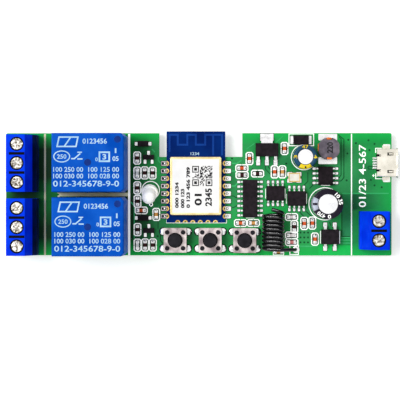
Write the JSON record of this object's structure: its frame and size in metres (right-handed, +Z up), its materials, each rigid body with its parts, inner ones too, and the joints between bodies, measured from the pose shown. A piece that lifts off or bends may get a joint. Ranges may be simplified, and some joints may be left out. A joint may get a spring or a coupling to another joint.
{
  "type": "smart relay module",
  "caption": "Long circuit board with screw terminals, blue relays, radio module, push buttons and a small power supply, for switching mains or low-voltage loads by radio.",
  "frame": {"origin": "under the middle of the whole part's box, at the tips of the trimmed pins", "axes": "+X along the board from the three-pole terminals to the plug socket, +Y towards the edge with the radio aerial, +Z up from the soldered side"},
  "size_m": [0.104, 0.033, 0.0186],
  "materials": {
    "board": "green solder mask over glass fibre, satin gloss",
    "radio_board": "blue solder mask over glass fibre",
    "solder": "bright tin solder",
    "tinned": "tin-plated copper alloy, satin",
    "shield": "tin-plated pressed shield",
    "label": "white matt label",
    "blue_terminal": "blue moulded polyamide",
    "screw": "zinc-plated steel, bright",
    "brass": "nickel-washed brass",
    "blue_cover": "blue moulded relay cover, satin gloss",
    "black_plastic": "black moulded plastic",
    "white_plastic": "white moulded nylon",
    "copper": "enamelled copper winding",
    "iron": "nickel-plated soft iron",
    "spring_copper": "copper alloy spring strip",
    "epoxy": "black moulding compound, matt",
    "button_frame": "tinned sheet steel",
    "dome": "spring steel",
    "can": "bare drawn aluminium",
    "sleeve": "shrunk PVC sleeve, dark, with a pale stripe",
    "rubber": "rubber bung",
    "ferrite": "grey-violet sintered ferrite",
    "wire_cover": "black insulated wire",
    "socket_shell": "bright tinned stainless shell",
    "gold": "gold-plated contacts",
    "crystal": "plated lid on a ceramic tray",
    "resistor": "glazed thick-film resistor",
    "ceramic": "fired ceramic, tan",
    "lamp_chip": "white indicator lamp",
    "milky": "milky translucent epoxy"
  },
  "bodies": {
    "board": {"button_bases": "black_plastic", "button_domes": "dome", "button_frames": "button_frame", "button_legs": "tinned", "capacitor_bungs": "rubber", "capacitor_cans": "can", "capacitor_sleeves": "sleeve", "ceramic_capacitors": "ceramic", "chip_bodies": "epoxy", "chip_leads": "tinned", "chip_resistors": "resistor", "coil_aerial": "wire_cover", "component_leads": "tinned", "crystal_can": "crystal", "indicator_lamps": "lamp_chip", "inductor_core": "ferrite", "inductor_winding": "copper", "main_board": "board", "radio_board": "radio_board", "radio_chips": "epoxy", "radio_label": "label", "radio_shield": "shield", "relay_bases": "black_plastic", "relay_bobbins": "white_plastic", "relay_covers": "blue_cover", "relay_magnet_frames": "iron", "relay_pins": "tinned", "relay_windings": "copper", "round_lamp": "milky", "socket_contacts": "gold", "socket_shell": "socket_shell", "socket_tongue": "black_plastic", "solder_joints": "solder", "terminal_contacts": "tinned", "terminal_housing_lower": "blue_terminal", "terminal_housing_power": "blue_terminal", "terminal_housing_upper": "blue_terminal"},
    "screw_1": {"terminal_screw_1": "screw"},
    "cage_1": {"clamp_cage_1": "brass"},
    "screw_2": {"terminal_screw_2": "screw"},
    "cage_2": {"clamp_cage_2": "brass"},
    "screw_3": {"terminal_screw_3": "screw"},
    "cage_3": {"clamp_cage_3": "brass"},
    "screw_4": {"terminal_screw_4": "screw"},
    "cage_4": {"clamp_cage_4": "brass"},
    "screw_5": {"terminal_screw_5": "screw"},
    "cage_5": {"clamp_cage_5": "brass"},
    "screw_6": {"terminal_screw_6": "screw"},
    "cage_6": {"clamp_cage_6": "brass"},
    "screw_7": {"terminal_screw_7": "screw"},
    "cage_7": {"clamp_cage_7": "brass"},
    "screw_8": {"terminal_screw_8": "screw"},
    "cage_8": {"clamp_cage_8": "brass"},
    "button_1": {"button_cap_1": "black_plastic"},
    "button_2": {"button_cap_2": "black_plastic"},
    "button_3": {"button_cap_3": "black_plastic"},
    "armature_upper": {"relay_armature_upper": "iron", "relay_blade_upper": "spring_copper"},
    "armature_lower": {"relay_armature_lower": "iron", "relay_blade_lower": "spring_copper"}
  },
  "joints": [
    {"name": "screw_1_turn", "type": "hinge", "parent": "board", "child": "screw_1", "pos_m": [-0.04791, 0.01294, 0.01165], "axis": [0, 0, -1], "range_deg": [0, 1440]},
    {"name": "cage_1_lift", "type": "slide", "parent": "board", "child": "cage_1", "axis": [0, 0, 1], "range_m": [0, 0.002]},
    {"name": "screw_2_turn", "type": "hinge", "parent": "board", "child": "screw_2", "pos_m": [-0.04791, 0.00794, 0.01165], "axis": [0, 0, -1], "range_deg": [0, 1440]},
    {"name": "cage_2_lift", "type": "slide", "parent": "board", "child": "cage_2", "axis": [0, 0, 1], "range_m": [0, 0.002]},
    {"name": "screw_3_turn", "type": "hinge", "parent": "board", "child": "screw_3", "pos_m": [-0.04791, 0.00294, 0.01165], "axis": [0, 0, -1], "range_deg": [0, 1440]},
    {"name": "cage_3_lift", "type": "slide", "parent": "board", "child": "cage_3", "axis": [0, 0, 1], "range_m": [0, 0.002]},
    {"name": "screw_4_turn", "type": "hinge", "parent": "board", "child": "screw_4", "pos_m": [-0.04791, -0.00382, 0.01165], "axis": [0, 0, -1], "range_deg": [0, 1440]},
    {"name": "cage_4_lift", "type": "slide", "parent": "board", "child": "cage_4", "axis": [0, 0, 1], "range_m": [0, 0.002]},
    {"name": "screw_5_turn", "type": "hinge", "parent": "board", "child": "screw_5", "pos_m": [-0.04791, -0.00882, 0.01165], "axis": [0, 0, -1], "range_deg": [0, 1440]},
    {"name": "cage_5_lift", "type": "slide", "parent": "board", "child": "cage_5", "axis": [0, 0, 1], "range_m": [0, 0.002]},
    {"name": "screw_6_turn", "type": "hinge", "parent": "board", "child": "screw_6", "pos_m": [-0.04791, -0.01382, 0.01165], "axis": [0, 0, -1], "range_deg": [0, 1440]},
    {"name": "cage_6_lift", "type": "slide", "parent": "board", "child": "cage_6", "axis": [0, 0, 1], "range_m": [0, 0.002]},
    {"name": "screw_7_turn", "type": "hinge", "parent": "board", "child": "screw_7", "pos_m": [0.04646, -0.00721, 0.01165], "axis": [0, 0, -1], "range_deg": [0, 1440]},
    {"name": "cage_7_lift", "type": "slide", "parent": "board", "child": "cage_7", "axis": [0, 0, 1], "range_m": [0, 0.002]},
    {"name": "screw_8_turn", "type": "hinge", "parent": "board", "child": "screw_8", "pos_m": [0.04646, -0.01221, 0.01165], "axis": [0, 0, -1], "range_deg": [0, 1440]},
    {"name": "cage_8_lift", "type": "slide", "parent": "board", "child": "cage_8", "axis": [0, 0, 1], "range_m": [0, 0.002]},
    {"name": "button_1_press", "type": "slide", "parent": "board", "child": "button_1", "axis": [0, 0, -1], "range_m": [0, 0.00025], "stiffness_N_per_m": 600, "springref_m": -0.001},
    {"name": "button_2_press", "type": "slide", "parent": "board", "child": "button_2", "axis": [0, 0, -1], "range_m": [0, 0.00025], "stiffness_N_per_m": 600, "springref_m": -0.001},
    {"name": "button_3_press", "type": "slide", "parent": "board", "child": "button_3", "axis": [0, 0, -1], "range_m": [0, 0.00025], "stiffness_N_per_m": 600, "springref_m": -0.001},
    {"name": "armature_upper_pull_in", "type": "hinge", "parent": "board", "child": "armature_upper", "pos_m": [-0.03519, 0.00799, 0.01366], "axis": [0, 1, 0], "range_deg": [0, 2.5], "stiffness_Nm_per_rad": 0.005, "springref_deg": -11.46},
    {"name": "armature_lower_pull_in", "type": "hinge", "parent": "board", "child": "armature_lower", "pos_m": [-0.03519, -0.00866, 0.01366], "axis": [0, 1, 0], "range_deg": [0, 2.5], "stiffness_Nm_per_rad": 0.005, "springref_deg": -11.46}
  ],
  "couplings": [
    {"joint": "screw_1_turn", "follows": "cage_1_lift", "rad_per_m": 12566},
    {"joint": "screw_2_turn", "follows": "cage_2_lift", "rad_per_m": 12566},
    {"joint": "screw_3_turn", "follows": "cage_3_lift", "rad_per_m": 12566},
    {"joint": "screw_4_turn", "follows": "cage_4_lift", "rad_per_m": 12566},
    {"joint": "screw_5_turn", "follows": "cage_5_lift", "rad_per_m": 12566},
    {"joint": "screw_6_turn", "follows": "cage_6_lift", "rad_per_m": 12566},
    {"joint": "screw_7_turn", "follows": "cage_7_lift", "rad_per_m": 12566},
    {"joint": "screw_8_turn", "follows": "cage_8_lift", "rad_per_m": 12566}
  ]
}
